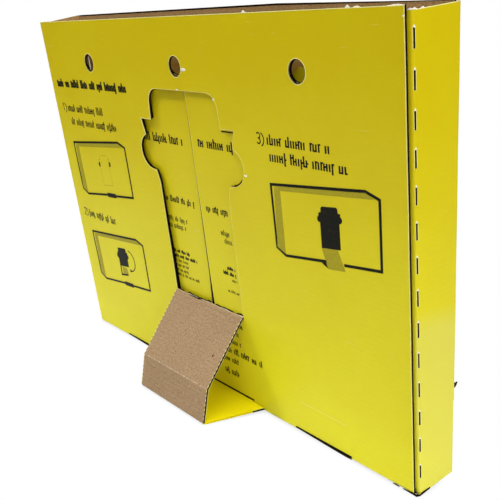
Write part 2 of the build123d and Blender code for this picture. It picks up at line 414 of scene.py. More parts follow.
def printMaterial(name, pale, full):
    # yellow ink over fluted board: paler towards the foot as painted light and sheen, with cloud, grain and
    # faint scratches, and a painted sheen low on the near side
    material, shader, kit = newMaterial(name, inkYellow["roughness"], inkYellow["specular"])
    noise, ramp, mix, math, times = kit.noise, kit.ramp, kit.mix, kit.math, kit.times
    across, height = kit.part(kit.object, 0), kit.part(kit.object, 2)
    deep = inkYellow["cloud"]
    cloud = ramp(noise(kit.object, inkYellow["cloudScale"], 4), 0.3, 0.7, -deep, deep)
    grain = ramp(noise(kit.object, inkYellow["grainScale"], 4, 0.7), 0.35, 0.65)
    # painted light and sheen: the print pales towards the foot, in clouds
    laid = math("ADD", ramp(height, inkYellow["paleZ"], inkYellow["fullZ"]), cloud, True)
    ridge = washboard(kit)
    scratch = ramp(noise(kit.stretch(kit.object, inkYellow["scratchScale"]), 1.0, 2), 0.72, 0.78)
    # painted sheen: paler low on the near side
    low = ramp(math("ADD", height, times(cloud, 0.03)), *inkYellow["sheenZ"])
    paintedSheen = times(ramp(across, *inkYellow["sheenX"]), low)
    colour = mix(laid, pale, full)
    colour = mix(times(grain, inkYellow["grain"]), colour, inkYellow["shade"])
    colour = mix(times(ramp(ridge, -1, 1), inkYellow["ridge"]), colour, inkYellow["shade"])
    colour = mix(times(scratch, inkYellow["scratch"]), colour, inkYellow["scuff"])
    colour = mix(times(paintedSheen, inkYellow["sheenShare"]), colour, inkYellow["sheenTone"])
    kit.shade("Base Color", colour)
    kit.shade("Roughness", ramp(grain, 0, 1, inkYellow["smooth"], inkYellow["rough"]))
    normal = kit.bump(ridge, 0.06, 0.00008)
    kit.shade("Normal", kit.bump(grain, 0.12, 0.00004, normal))
    return material


kraftTone = dict(
    base=(0.335, 0.218, 0.118, 1), light=(0.48, 0.34, 0.205, 1), dark=(0.19, 0.115, 0.06, 1),
    speck=(0.06, 0.03, 0.02, 1),
)
insideTone = dict(
    base=(0.46, 0.27, 0.10, 1), light=(0.62, 0.41, 0.19, 1), dark=(0.17, 0.08, 0.025, 1),
    speck=(0.04, 0.02, 0.01, 1), deep=(0.24, 0.125, 0.008, 1),  # the last is painted shade down inside the tray
)
wornPaper = (0.80, 0.68, 0.50, 1)
fibre = dict(
    longScale=(500, 1100, 1100), cloudScale=25, fineScale=1000, speckScale=240,
    cloud=0.25, ridge=0.08, speck=0.75, deep=0.95,  # how much of each tone is laid over
    deepTop=(0.245, 0.235), deepFoot=(0.06, 0.09),  # metres between which the inside gets the painted shade
    kneeWorn=0.38, foldWorn=1.1,  # reach of the rubbed paper along the easel's creases
)


def kraftMaterial(name, tone, worn=()):
    # brown paper: clouds, long and fine fibres light and dark, and specks in cells
    # worn gives the places along the sheet where a crease has rubbed the fibres pale
    material, shader, kit = newMaterial(name, 0.85, 0.2)
    noise, ramp, mix, math, times = kit.noise, kit.ramp, kit.mix, kit.math, kit.times
    fibres = noise(kit.stretch(kit.object, fibre["longScale"]), 1.0, 4, 0.65, 0.6)
    cloud = ramp(noise(kit.object, fibre["cloudScale"], 5), 0.3, 0.7)
    fine = ramp(noise(kit.object, fibre["fineScale"], 4, 0.75), 0.3, 0.7)
    colour = mix(times(cloud, fibre["cloud"]), tone["base"], tone["dark"])
    colour = mix(times(ramp(fibres, 0.5, 0.72), 0.45), colour, tone["light"])
    colour = mix(times(ramp(fibres, 0.46, 0.3), 0.5), colour, tone["dark"])
    colour = mix(times(ramp(fine, 0.4, 0.9), 0.6), colour, tone["light"])
    colour = mix(times(ramp(fine, 0.45, 0.0), 0.65), colour, tone["dark"])
    cells = {"Vector": kit.object, "Scale": fibre["speckScale"]}
    specks = kit.add("ShaderNodeTexVoronoi", cells, feature="F1")
    pick = ramp(kit.add("ShaderNodeSeparateColor", {0: specks.outputs["Color"]}).outputs[0], 0.7, 0.72)
    dot = times(ramp(specks.outputs["Distance"], 0.13, 0.06), pick)
    colour = mix(times(dot, fibre["speck"]), colour, tone["speck"])
    ridge = washboard(kit)
    colour = mix(times(ramp(ridge, -1, 1), fibre["ridge"]), colour, tone["dark"])
    along = kit.part(kit.sheet, 1)
    for at, reach in worn:
        near = ramp(math("ABSOLUTE", math("SUBTRACT", along, at)), reach, reach * 0.3)
        colour = mix(times(near, ramp(fine, 0.3, 0.8, 0.1, 0.9)), colour, wornPaper)
    # painted shade: the inside darker from a little over its foot to just under its rim
    if "deep" in tone:
        height = kit.part(kit.object, 2)
        deep = times(ramp(height, *fibre["deepTop"]), ramp(height, *fibre["deepFoot"]))
        colour = mix(times(deep, fibre["deep"]), colour, tone["deep"])
    kit.shade("Base Color", colour)
    normal = kit.bump(ridge, 0.3, 0.0001)
    kit.shade("Normal", kit.bump(fibres, 0.5, 0.00012, normal))
    return material


def edgeMaterial(name, base, other, scale):
    # a cut or torn edge: two tones of loose fibre
    material, shader, kit = newMaterial(name, 0.95, 0.03)
    fibres = kit.noise(kit.stretch(kit.object, (scale, scale, 2 * scale)), 1.0, 5, 0.7)
    kit.shade("Base Color", kit.mix(kit.ramp(fibres, 0.35, 0.65), base, other))
    kit.shade("Normal", kit.bump(fibres, 0.6, 0.0001))
    return material


# two tones each, and the scale of the fibre or the grain that mixes them
edgeTones = {
    "printedLinerCut": ((0.72, 0.68, 0.34, 1), (0.50, 0.44, 0.12, 1), 900),
    # the brown cut edge is darkened near black: painted shade in its flutes and gaps, and the tone of the
    # shade skins
    "darkCutAndShade": ((0.018, 0.010, 0.006, 1), (0.006, 0.0035, 0.002, 1), 900),
    "crushedRim": ((0.93, 0.88, 0.46, 1), (0.88, 0.79, 0.20, 1), 1500),
    "tornPaper": ((0.95, 0.94, 0.88, 1), (0.80, 0.76, 0.60, 1), 1500),
}
inkTones = {
    "blackInk": dict(base=(0.004, 0.004, 0.003, 1), other=(0.05, 0.042, 0.006, 1), scale=1500,
                     low=0.55, high=0.8, specular=0.08),
    "oliveTint": dict(base=(0.41, 0.35, 0.012, 1), other=(0.33, 0.28, 0.01, 1), scale=900,
                      low=0.4, high=0.7, specular=0.12),
}


def inkMaterial(name):
    # a plain ink, its two tones mixed by a fine grain
    one = inkTones[name]
    material, shader, kit = newMaterial(name, 0.45, one["specular"])
    grain = kit.noise(kit.object, one["scale"], 3, 0.6)
    share = kit.ramp(grain, one["low"], one["high"])
    kit.shade("Base Color", kit.mix(share, one["base"], one["other"]))
    return material


printed = printMaterial("printedLiner", inkYellow["pale"], inkYellow["full"])
# painted light: a brighter copy of the print, for the easel's printed side that lies in shade
paintedLightPrint = printMaterial("paintedLightPrint", inkYellow["litYellow"], inkYellow["litYellow"])
kraft = kraftMaterial("kraftInside", insideTone)
easelWorn = ((easelKnee, fibre["kneeWorn"]), (easelFold, fibre["foldWorn"]))
easelKraft = kraftMaterial("kraftOutside", kraftTone, easelWorn)
printCut, darkCutAndShade, crushedRim, tornPaper = (edgeMaterial(name, *tones) for name, tones in edgeTones.items())
blackInk, oliveTint = (inkMaterial(name) for name in inkTones)
sheetSlots = [printed, kraft, printCut, darkCutAndShade]
print("materials done")


# the strap: bottom panel and back panel
strap = dict(
    slitHalf=41.0, slitFoot=1.6, slitTop=5.4, slitBack=-0.25, shadowZ=(3.4, 4.6, 5.8),
    lockHalf=25.0, lockX=110.5, lockTop=2.6, lockFront=7.0,
)


def openingSide(z):
    # half width of the opening: the tab's edge, its flare, and the thumb hole where that reaches farther
    flare = np.interp(z, (easel["flareZ"], easel["earZ"]), (easel["half"], easel["earHalf"]))
    inside = easel["thumbRadius"] ** 2 - (z - easel["thumbZ"]) ** 2
    return np.maximum(flare, np.where(inside > 0, easel["thumbX"] + np.sqrt(np.clip(inside, 0, None)), 0))


def tipSide(at, low, high):
    # half width of the tip from its ears to its end: a slight taper, less the set-in of a quarter circle
    corner = easel["tipCorner"]
    rise = grown(at, high - corner, corner)
    taper = np.interp(at, (low, high), (easel["tipHalf"], easel["tipEndHalf"]))
    return taper - corner * (1 - np.sqrt(1 - rise**2))


def strapBands():
    # from the bottom's front edge up, past the lock slots, the slit, both sides of the opening and the holes
    half, lock, slit = tray["panelHalf"], strap["lockX"], strap["slitHalf"]
    lockIn, lockOut = lock - strap["lockHalf"], lock + strap["lockHalf"]
    lockStart = runAt(strapPath, 0, (-strap["lockFront"], 0))
    slitFoot, lockTop, slitTop = (panelV(strap[key]) for key in ("slitFoot", "lockTop", "slitTop"))
    foldZ, tipStart = easel["fold"] - easel["clear"], openingTop - easel["tipCorner"]
    bands = [band(0, lockStart, -half, half)]
    for left, right in ((-half, -lockOut), (-lockIn, lockIn), (lockOut, half)):
        bands.append(band(lockStart, slitFoot, left, right))
    for left, right in ((-half, -lockOut), (-lockIn, -slit), (slit, lockIn), (lockOut, half)):
        bands.append(band(slitFoot, lockTop, left, right))
    bands += [band(lockTop, slitTop, -half, -slit), band(lockTop, slitTop, slit, half)]
    bands.append(band(slitTop, panelV(foldZ), -half, half))
    thumb = easel["thumbZ"] + easel["thumbRadius"] * np.sin(np.linspace(-pi / 2, pi / 2, 31))
    z = np.unique(np.concatenate((np.linspace(foldZ, easel["earZ"], 60), thumb)))
    z = z[z <= easel["earZ"]]
    crown = tipStart + easel["tipCorner"] * np.sin(np.linspace(0, pi / 2, 13))
    tipZ = np.unique(np.concatenate((np.linspace(easel["earZ"], tipStart, 5), crown)))
    for heights, across in ((z, openingSide(z)), (tipZ, tipSide(tipZ, easel["earZ"], openingTop))):
        low, high = panelV(heights[0]), panelV(heights[-1])
        bands.append(band(low, high, -half, (panelV(heights), -across), 12))
        bands.append(band(low, high, (panelV(heights), across), half, 12))
    rise, reach = arcSide(tray["holeRadius"])
    bands.append(band(panelV(openingTop), panelV(holeLow), -half, half))
    bands += holeRow(-half, half, panelV(tray["holeZ"] + rise), [(x - reach, x + reach) for x in allHoles])
    bands.append(band(panelV(holeHigh), panelV(tray["panelTop"]), -half, half))
    return bands


def holeRow(first, last, heights, gaps, turned=False):
    # the sheet before, between and after round holes, each hole given by its two sides; turned runs backwards
    edges = [first] + [(heights, side) for gap in gaps for side in gap] + [last]
    pairs = [(edges[k], edges[k + 1]) for k in range(0, len(edges), 2)]
    return [band(heights[0], heights[-1], *(pair[::-1] if turned else pair), 8) for pair in pairs]


def slitShadow():
    # painted shade: a dark sheet inside the slit over the easel's third section
    half, back = strap["slitHalf"], strap["slitBack"]
    u, v = np.meshgrid(np.linspace(-half, half, 12), panelV(np.array(strap["shadowZ"])))
    return sheetShell(strapAt, u, v, back, back - 0.1, (3, 3, 3))


strapShells = boardShells(strapAt, strapBands(), [], strapPath["distance"][1:-1], 0, 1)
strapSheet = makePiece("backAndBottomPanels", strapShells + [slitShadow()], sheetSlots)
print("strap done")


# the wrap: near flap, side, front wall, side, far flap
wrap = dict(
    cutTop=253.1, cutPitch=18.2, cutHalf=4.55, cutCount=14, cutSetback=0.5, cutWidth=1.05, cutDepth=0.1,
    cutBack=0.3, foldFlat=4.0, lockHalf=23.5, lockX=110.5, lockFoot=0.2,
    riseX=(-185, -150, -60, 189), rise=(-0.5, 0.2, 2.4, 2.2),  # how much higher the front's edge stands
)
# each end's side, its flap's outer face, its map and the path's run up its side wall
wrapEnds = ((-1, tray["nearFlap"], nearU, 1), (1, tray["farFlap"], farU, 3))


def wrapBands():
    # both ends of the wrap, from the seam past the flap, the fold's cuts and the side, then the front wall
    wallIn = tray["depth"] - tray["board"]
    foot, tipTop, front, top = tray["flapFoot"], tray["tipRoomTop"], tray["dispenseTop"], tray["height"]
    rise, halfRound = arcSide(tray["holeRadius"])
    bands, backings = [], []
    for sign, flap, across, run in wrapEnds:
        flat = across(sign * (tray["halfWidth"] - wrap["foldFlat"]))
        strip = across(sign * (tray["panelHalf"] + tray["footGap"]))
        cutFront = flap - wrap["cutSetback"] - wrap["cutWidth"]
        sideAt = [(sign * tray["halfWidth"], y) for y in (flap - wrap["cutSetback"], cutFront, -wallIn)]
        nearCut, farCut, corner = (runAt(wrapPath, run, point) for point in sideAt)
        stops = tray["seamGap"] if sign < 0 else tray["farGap"]

        def order(a, b):
            # the far end's bands run the other way
            return (a, b) if sign < 0 else (b, a)

        def seam(*z):
            # the flap's free edge at the given heights
            return np.array(z), across(tray["seamX"]) + np.interp(z, tray["seamGapZ"], stops)

        lock = [across(sign * (wrap["lockX"] + k * wrap["lockHalf"])) for k in (-1, 1)]
        bands += [
            band(foot, tipTop, *order(across(sign * tray["tipRoomHalf"]), flat)),
            band(tipTop, holeLow, *order(seam(tipTop, *tray["seamGapZ"][1:3], holeLow), flat), 14),
            band(holeHigh, top, *order(seam(holeHigh, top), flat), 14),
            band(wrap["lockFoot"], foot, *order(*lock)),
            band(foot, top, *order(flat, nearCut)),
            band(0, foot, *order(strip, nearCut)),
            band(0, front, *order(farCut, corner)),
            band(front, top, *order(farCut, corner)),
        ]
        holes, slacks = ("nearHoles", "nearSlack") if sign < 0 else ("farHoles", "farSlack")
        gaps = [(across(x - sign * halfRound * inward), across(x + sign * halfRound * outward))
                for x, (inward, outward) in zip(tray[holes], tray[slacks])]
        bands += holeRow(seam(holeLow, holeHigh), flat, tray["holeZ"] + rise, gaps, sign > 0)
        # the column of cuts along the fold, from the foot up
        low, reach = 0.0, wrap["cutHalf"] + wrap["cutBack"]
        for k in reversed(range(wrap["cutCount"])):
            middle = wrap["cutTop"] - k * wrap["cutPitch"]
            bands.append(band(low, middle - wrap["cutHalf"], *order(nearCut, farCut)))
            backings.append(band(middle - reach, middle + reach, *order(nearCut, farCut)))
            low = middle + wrap["cutHalf"]
        bands.append(band(low, top, *order(nearCut, farCut)))
    left = runAt(wrapPath, 1, (-tray["halfWidth"], -wallIn))
    right = runAt(wrapPath, 3, (tray["halfWidth"], -wallIn))
    bands.append(band(front, top, left, right))
    raised = [(left + wrap["foldFlat"], right), (right, right + wallIn - wrap["foldFlat"])]
    return bands, backings, [band(top, tray["frontTop"], *ends) for ends in raised]


def wrapTopAt(u, v, t):
    # the wrap above its side walls: the edge stands higher towards the far end, in full at the front wall
    x, y = onPath(wrapPath, u, 0)
    over = np.interp(x, wrap["riseX"], wrap["rise"]) * grown(-y, 4, tray["depth"] - 6)
    share = grown(v, tray["height"], tray["frontTop"] - tray["height"])
    return wrapAt(u, v + over * share, t)


def backingShells(bands):
    # fills each cut from just under the outer face to the inner liner: dark outside, as painted shade in
    # the cut, and kraft inside
    grids = [bandGrid(one, [], [], net["across"], net["along"]) for one in bands]
    return [sheetShell(wrapAt, u, v, -wrap["cutDepth"], 0.02 - tray["board"], (3, 1, 3)) for u, v in grids]


wrapParts, cutBackings, topParts = wrapBands()
wrapFolds = wrapPath["distance"][1:-1]
riseBreaks = np.concatenate((wrapFolds, np.arange(200, 620, 12)))
wrapShells = boardShells(wrapAt, wrapParts, wrapFolds, [], 0, 1)
wrapShells += boardShells(wrapTopAt, topParts, riseBreaks, [], 0, 1) + backingShells(cutBackings)
makePiece("wrapPanels", wrapShells, sheetSlots)
print("wrap done")


# the easel tab
def easelBands():
    # stem from the fold to the foot, flare to the ears with edges in the brighter painted-light print but a
    # bare dark end as painted shade under the ears, then the rounded tip
    half, corner, bare = easel["half"], easel["tipCorner"], easelEar - easel["darkEar"]
    start = runAt(easelPath, 0, (-tray["board"], easel["fold"] - easel["start"]))
    flare, across = np.array((easelFoot, easelEar)), np.array((half, easel["earHalf"]))
    bands = [band(start, easelFoot, -half, half)]
    for low, high, rim in ((easelFoot, bare, 0), (bare, easelEar, None)):
        bands.append(band(low, high, (flare, -across), (flare, across), 16, rim))
    crown = easelEnd - corner + corner * np.sin(np.linspace(0.1, pi / 2, 10))
    v = np.concatenate((np.linspace(easelEar, easelEnd - corner, 4), crown))
    side = tipSide(v, easelEar, easelEnd)
    bands.append(band(easelEar, easelEnd, (v, -side), (v, side), 8))
    return bands


easelShells = boardShells(easelAt, easelBands(), [], easelPath["distance"][1:-1], 1, 0)
makePiece("easelTab", easelShells, [paintedLightPrint, easelKraft, printCut, darkCutAndShade])

# dust flaps, glued down inside
dust = dict(length=46.0, taper=4.0, front=-31.4, back=-6.2, top=3.2, wall=187.4)


def dustShells(sign):
    # a tapered flap: u runs front to back, v inward from the side wall
    def dustAt(u, v, t):
        # its place on the bottom panel
        return place(sign * (dust["wall"] - v), u, dust["top"] + t)

    v = np.array((0, dust["length"]))
    front = (v, np.array((dust["front"], dust["front"] + dust["taper"])))
    back = (v, np.array((dust["back"], dust["back"] - dust["taper"])))
    return boardShells(dustAt, [band(0, dust["length"], front, back)], [], [], 1, 0)


makePiece("dustFlaps", dustShells(-1) + dustShells(1), sheetSlots)
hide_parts("display_tray")
print("easel and dust flaps done")


# print: thin skins of ink that lie on the liner, in the upright tray's millimetres (x, z)
def onPanel(x, z, t):
    # a place on the back panel's outer face, moved t outward
    return strapAt(x, panelV(z), t)


def onNear(x, z, t):
    # a place on the near flap's outer face
    return wrapAt(nearU(x), z, t)


def onFar(x, z, t):
    # a place on the far flap's outer face
    return wrapAt(farU(x), z, t)


ink = dict(
    lift=0.05, line=1.8, fine=0.3, mitre=1.6,
    # a tick's width, pitch and gap between groups over the height, and how uneven the ticks are
    tick=0.2, pitch=0.34, space=0.5, tallShare=0.25, short=0.68, tailShare=0.08, tail=0.25,
    barShare=0.55, barAt=(0.0, 0.3, 0.6), barWeight=0.8, seed=40, numeral=0.85,
)


def inkSkin(at, across, high, slot=0, lift=None):
    # a closed skin that stands a lift over the liner and as far under it
    across, high = np.broadcast_arrays(across, high)
    lift = lift or ink["lift"]
    return sheetShell(at, across, high, lift, -lift, (slot,) * 3)


def inkPatch(at, corners, slot=0, step=3.0):
    # four corners in order, blended both ways over a grid
    a, b, c, d = np.array(corners, float)
    n = max(int(np.linalg.norm(b - a) / step), 1) + 1
    m = max(int(np.linalg.norm(d - a) / step), 1) + 1
    p, q = np.linspace(0, 1, n)[None, :, None], np.linspace(0, 1, m)[:, None, None]
    grid = (1 - q) * ((1 - p) * a + p * b) + q * ((1 - p) * d + p * c)
    return inkSkin(at, grid[..., 0], grid[..., 1], slot)


def inkLine(at, points, width, slot=0, step=3.0, lift=None):
    # a ribbon along straight runs, mitred where they meet; a first point repeated at the end closes it
    points = np.array(points, float)
    runs = np.diff(points, axis=0)
    lengths = np.linalg.norm(runs, axis=1)
    sides = np.stack((-runs[:, 1], runs[:, 0]), -1) / lengths[:, None]
    closed = np.allclose(points[0], points[-1])
    before = np.concatenate((sides[-1:] if closed else sides[:1], sides))
    after = np.concatenate((sides, sides[:1] if closed else sides[-1:]))
    mitre = (before + after) / (1 + (before * after).sum(-1))[:, None]
    mitre *= np.minimum(1, ink["mitre"] / np.linalg.norm(mitre, axis=1))[:, None]
    distance = np.concatenate(([0], lengths.cumsum()))
    s = np.unique(np.concatenate((distance, np.linspace(0, distance[-1], int(distance[-1] / step) + 2))))
    centre = np.stack([np.interp(s, distance, points[:, k]) for k in (0, 1)], -1)
    reach = np.stack([np.interp(s, distance, mitre[:, k]) for k in (0, 1)], -1) * width / 2
    grid = np.stack((centre - reach, centre + reach), 1)
    return inkSkin(at, grid[..., 0], grid[..., 1], slot, lift)


def inkRows(at, z, left, right, slope=0.0, columns=8):
    # a filled outline given by its left and right at each height, sheared by the slope
    x = left[:, None] + (right - left)[:, None] * np.linspace(0, 1, columns)
    return inkSkin(at, x, z[:, None] + slope * (x - (left + right)[:, None] / 2))


def ticks(at, start, end, z, height, seed, weight=1.0):
    # a line of print as plain upright ticks in groups, of uneven heights; it reads from start towards end
    random = np.random.default_rng(seed)
    x, way, shells = start, np.sign(end - start), []
    pitch, wide = height * ink["pitch"], height * ink["tick"] * weight
    left = random.integers(3, 8)
    while (end - x) * way > wide:
        tall = height if random.random() < ink["tallShare"] else height * ink["short"]
        low = -ink["tail"] * height if random.random() < ink["tailShare"] else 0.0
        box = ((x, z + low), (x + way * wide, z + low), (x + way * wide, z + tall), (x, z + tall))
        shells.append(inkPatch(at, box, step=9))
        if random.random() < ink["barShare"]:
            bar, far = z + random.choice(ink["barAt"]) * height, x + way * pitch
            top = bar + wide * ink["barWeight"]
            shells.append(inkPatch(at, ((x, bar), (far, bar), (far, top), (x, top)), step=9))
        left -= 1
        x += way * pitch * (1 if left else 1 + ink["space"] / ink["pitch"])
        if not left:
            left = random.integers(3, 9)
    return shells


def arc(centre, radius, start, end, steps=9):
    # points of a circle's arc between two angles in degrees
    angle = np.radians(np.linspace(start, end, steps))
    return [(centre[0] + radius * cos(a), centre[1] + radius * sin(a)) for a in angle]


numerals = {
    1: [[(0.05, 0.78), (0.3, 1.0), (0.3, 0.0)]],
    2: [arc((0.3, 0.72), 0.27, 165, -35) + [(0.03, 0.0), (0.6, 0.0)]],
    3: [arc((0.28, 0.74), 0.25, 150, -90) + arc((0.28, 0.25), 0.25, 90, -150)],
}
bracket = arc((0.35, 0.4), 0.68, 62, -62)


def numeral(at, digit, x, z, height):
    # a digit and its bracket at a height; it reads from behind, towards -x
    lines = [[(x - a * height, z + b * height) for a, b in line] for line in numerals[digit] + [bracket]]
    return [inkLine(at, line, ink["numeral"], step=9) for line in lines]


# one line drawing of the tray from behind, from its corner nearest the step's number; what it shows varies
sketch = dict(
    starts=[(168.6, 172.0), (167.2, 93.6), (-83.5, 171.9)],
    frame=[(-56.8, -38.2), (-84.2, -35.4), (-84.3, 3.8), (-74.9, 6.9), (0, 0), (-0.3, -39.4), (-8.2, -43.3),
           (-42.9, -39.1)],
    topBand=[(-2.6, -0.9), (-74.6, 6.2), (-81.3, 3.4), (-7.8, -2.9)],
    leftBand=[(-2.6, -1.4), (-7.8, -2.9), (-8.0, -42.2), (-0.8, -39.2)],
    key=(-47.3, -30.6), keyScale=0.165, keyEnd=0.5, stemHalf=45.5, slope=-0.11,  # the opening, drawn small
    moonHalf=2.3, moonIn=0.3, moonOut=0.05, moonRise=8,  # its thumb holes in the first drawing
    bentFoot=34, arm=[(-40.6, -22), (-40.2, -31.6), (-51.4, -29.6)], armWidth=1.7,
    bentFace=[(-43.5, -23), (-51, -24), (-52, -28.5), (-42.6, -30)],
    arrow=(-57, -15.4), arrowRadius=9.2, arrowTurn=(95, 262), arrowWidth=1.0, head=(2.2, 0.4), headWidth=2.2,
    foot=[(-39.5, -31.4), (-52.4, -30.1), (-57.7, -42), (-44.1, -43.5)],
    notch=[(-38.7, -40.4), (-42.9, -39.1), (-44.1, -43.2), (-40.5, -41.6)],
)


def keyRows(start, low, steps=40):
    # the opening's own outline at the drawing's scale, from one of its heights up to its top
    scale, corner = sketch["keyScale"], easel["tipCorner"]
    z = np.linspace(low, openingTop - sketch["keyEnd"], steps)
    rise = grown(z, openingTop - corner, corner)
    tip = easel["tipHalf"] - corner * (1 - np.sqrt(1 - np.minimum(rise, 0.999) ** 2))
    half = np.where(z > easel["earZ"], tip, np.maximum(openingSide(z), sketch["stemHalf"])) * scale
    x = start[0] + sketch["key"][0]
    return start[1] + sketch["key"][1] + (z - easel["fold"]) * scale, x + half, x - half


def shifted(start, name):
    # one of the drawing's outlines, moved to where the drawing starts
    return [(start[0] + a, start[1] + b) for a, b in sketch[name]]


def cutSketch(start):
    # dashes down both sides of the opening, a tinted line at each end and a half moon for each thumb hole
    z, left, right = keyRows(start, easel["fold"])
    scale, slope, shells = sketch["keyScale"], sketch["slope"], []
    for side in (left, right):
        dash = np.stack((side, z + slope * (side - (left + right) / 2)), -1)
        shells += [inkLine(onPanel, dash[k:k + 2], ink["fine"]) for k in range(0, len(dash) - 2, 3)]
    for k in (0, -1):
        rise = slope * (left[k] - right[k]) / 2
        shells.append(inkLine(onPanel, [(left[k], z[k] + rise), (right[k], z[k] - rise)], ink["fine"], 1))
    moon = np.linspace(-1, 1, 9)
    bulge = np.sqrt(1 - moon**2) * easel["thumbRadius"] * scale
    thumbZ = start[1] + sketch["key"][1] + (easel["thumbZ"] - easel["fold"]) * scale
    for sign in (-1, 1):
        middle = start[0] + sketch["key"][0] + sign * easel["thumbX"] * scale
        flat = np.full(len(moon), middle - sign * sketch["moonIn"])
        high = thumbZ + slope * sign * sketch["moonRise"] + sketch["moonHalf"] * moon
        shells.append(inkRows(onPanel, high, flat, middle + sign * (bulge + sketch["moonOut"]), columns=3))
    return shells


def bentSketch(start):
    # the opening's upper part in black, the bent tab with its tinted face, and a curved arrow
    centre = (start[0] + sketch["arrow"][0], start[1] + sketch["arrow"][1])
    arrow = arc(centre, sketch["arrowRadius"], *sketch["arrowTurn"], 13)
    head = (arrow[-1][0] + sketch["head"][0], arrow[-1][1] + sketch["head"][1])
    return [
        inkRows(onPanel, *keyRows(start, easel["flareZ"] - sketch["bentFoot"]), sketch["slope"]),
        inkLine(onPanel, shifted(start, "arm"), sketch["armWidth"]),
        inkPatch(onPanel, shifted(start, "bentFace"), 1),
        inkLine(onPanel, arrow, sketch["arrowWidth"]),
        inkLine(onPanel, [arrow[-1], head], sketch["headWidth"]),
    ]


def standingSketch(start):
    # the whole opening in black, the tinted foot of the tab and its notch
    return [
        inkRows(onPanel, *keyRows(start, easel["fold"]), sketch["slope"]),
        inkPatch(onPanel, shifted(start, "foot"), 1),
        inkPatch(onPanel, shifted(start, "notch"), step=2),
    ]


def sketchShells():
    # the three drawings, each a frame with two tinted bands and what its step shows
    shells = []
    for start, step in zip(sketch["starts"], (cutSketch, bentSketch, standingSketch)):
        frameLine = shifted(start, "frame")
        shells.append(inkLine(onPanel, frameLine, ink["line"]))
        shells += [inkPatch(onPanel, shifted(start, name), 1) for name in ("topBand", "leftBand")]
        if step != standingSketch:
            shells.append(inkLine(onPanel, [frameLine[-1], frameLine[0]], ink["line"] * 2))
        shells += step(start)
    return shells


# each line of print: surface, where it starts and ends across, foot, height, weight
printLines = [
    (onPanel, 176.7, 66.2, 217.3, 6.4, 1.5), (onPanel, 166.5, 107.7, 197.9, 6.0, 1.0),
    (onPanel, 164.8, 91.9, 187.2, 6.0, 1.0), (onPanel, 166.5, 117.5, 107.9, 6.0, 1.0),
    (onPanel, -83.5, -136, 195.4, 6.2, 1.0), (onPanel, -84.6, -145.9, 185.8, 6.2, 1.0),
    (onFar, 61, 8.2, 184.3, 6.5, 1.1), (onNear, -10.8, -48, 186.3, 6.5, 1.1),
    (onFar, 43.5, 6.5, 141.3, 4.8, 1.1), (onNear, -10.3, -36, 142.3, 4.8, 1.1),
    (onFar, 44.5, 18.6, 126.4, 4.2, 0.9), (onFar, 44, 21.7, 120.8, 4.2, 0.9),
    (onNear, -24, -36, 127.8, 4.0, 0.9), (onNear, -27, -35.5, 122.2, 4.0, 0.9),
    (onFar, 43, 20, 101.1, 2.8, 1.4), (onFar, 43.5, 13, 97.2, 2.8, 1.4), (onFar, 43, 25, 93.4, 2.5, 0.9),
    (onFar, 43, 26, 89.6, 2.5, 0.9), (onFar, 43, 27, 85.7, 2.5, 0.9), (onFar, 42, 14, 81.8, 2.5, 0.9),
    (onPanel, -12, -37.5, 60.5, 4.2, 1.0), (onPanel, -12, -31.8, 52.8, 4.2, 1.0),
    (onPanel, -12, -33, 45.0, 4.2, 1.0), (onPanel, -12, -56.5, 36.5, 5.4, 1.0),
    (onPanel, -10, -28.8, 28.6, 4.6, 1.0), (onPanel, -10, -26.1, 18.0, 5.2, 1.0),
    (onNear, -26, -35, 103, 2.8, 1.4), (onNear, -21, -35.6, 98.8, 2.8, 1.4),
    (onNear, -30, -35.8, 94.8, 2.3, 0.9), (onNear, -24, -36.2, 85.8, 2.3, 0.9),
]
numbered = [(1, 175.5, 197.9, 6.2), (2, 175.5, 107.9, 6.2), (3, -74.3, 195.4, 6.4)]

inkShells = sketchShells()
for seed, (at, start, end, z, height, weight) in enumerate(printLines):
    inkShells += ticks(at, start, end, z, height, ink["seed"] + seed, weight)
for digit, x, z, height in numbered:
    inkShells += numeral(onPanel, digit, x, z, height)
makePiece("panelPrint", inkShells, [blackInk, oliveTint])
print("print done")

# wear: torn rims, nicks, a dark spot, painted shade and the disc left in a hang hole
# slots of the rims' piece: 0 pale rim, 1 torn paper, 2 dark edge and painted shade
wear = dict(
    seeds=dict(cut=300, nick=500, side=700, panel=720, streak=650, spot=640),
    # width and lift of a pale rim, width round a cut, a nick's lift, and shares of the width on finer rims
    rim=0.38, rimLift=0.06, cutRim=0.2, nickLift=0.1, faint=0.3, thin=0.4, side=0.6,
    ringOut=0.16, ringOver=0.02, seamIn=0.25, earOut=0.2, crownIn=1, sideFrom=-4, sideTo=3,
    tipWide=0.75, tipTall=1.3, tipUp=0.3, beadWide=0.45, beadTall=1.5, beadStart=0.6,
    # nicks on the back panel: x, z, width, height; one on the easel: x, share of the way from fold to knee,
    # width, height; and a streak behind the panel
    nicks=[(1.9, 222.6, 2.2, 0.7), (-36.6, 218.5, 1.5, 1.4), (-60.4, 173.8, 3.0, 1.2),
           (-8.2, 235.3, 5.4, 2.0), (-185.6, 262.7, 0.9, 1.3)],
    spot=(-30.5, 0.6, 1.3, 1.7), streak=(119.0, 236.6, 1.7, 9.6), streakDepth=2.4,
    # tufts on the near side's top edge, between its breaks, and on the panel's: start, end, height
    sideBreaks=(0.4, -5.0, -8.0, -9.8), sideTufts=((0, 1.0), (2, 0.7)),
    panelTufts=((-176, -185.9, 0.7), (-150.6, -153.2, 1.3), (-155.7, -159.7, 0.8), (-72.3, -75.3, 1.2)),
    flakeZ=59.5, flakeRise=(0, 0.3, 1.1), flakeHalf=(1.6, 1.0, 0.25), flakeOut=(0.3, -0.9, -2.1),
    wallTop=(-0.28, -0.12, 0.02),
)


